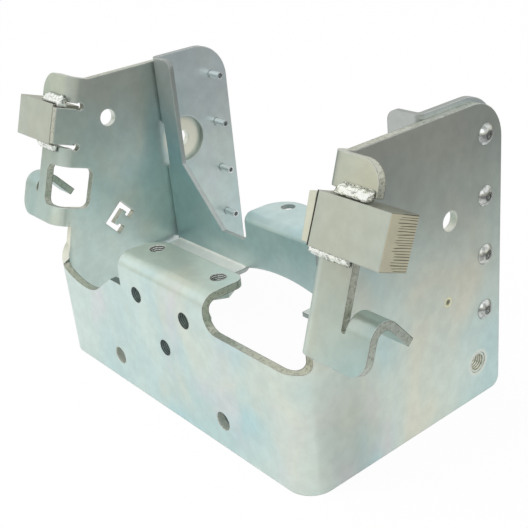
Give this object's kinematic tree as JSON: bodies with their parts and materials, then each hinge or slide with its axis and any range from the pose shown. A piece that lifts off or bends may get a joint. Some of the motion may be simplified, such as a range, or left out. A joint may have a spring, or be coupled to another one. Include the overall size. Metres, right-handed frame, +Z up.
{
  "type": "mounting bracket",
  "caption": "U-shaped plated sheet bracket with leaning ears, curled hooks, welded stop blocks, a riveted cross member and a bent front flange.",
  "frame": {"origin": "centre of the bounding box's bottom face, which is level with the bottom edges of the folded body", "axes": "+X to the right seen from the front wall, across the two side walls; +Y from the front wall to the rear; +Z up along the side walls"},
  "size_m": [0.219, 0.099, 0.1175],
  "materials": {
    "plated_body": "satin zinc plating with pale blue-green and yellow stains",
    "plated_cross_member": "satin zinc plating",
    "plated_block": "satin zinc plating over sawn steel",
    "weld_bead": "rippled, plated",
    "rivet_steel": "bright plating",
    "nut_steel": "bright plating",
    "insert_steel": "bright plating"
  },
  "bodies": {
    "root": {"main_bracket": "plated_body", "cross_member": "plated_cross_member", "left_stop_block": "plated_block", "right_stop_block": "plated_block", "left_upper_weld": "weld_bead", "left_lower_weld": "weld_bead", "right_upper_weld": "weld_bead", "right_lower_weld": "weld_bead", "left_rivets": "rivet_steel", "right_rivets": "rivet_steel", "flange_weld_nuts": "nut_steel", "front_weld_nuts": "nut_steel", "threaded_inserts": "insert_steel"}
  },
  "joints": []
}
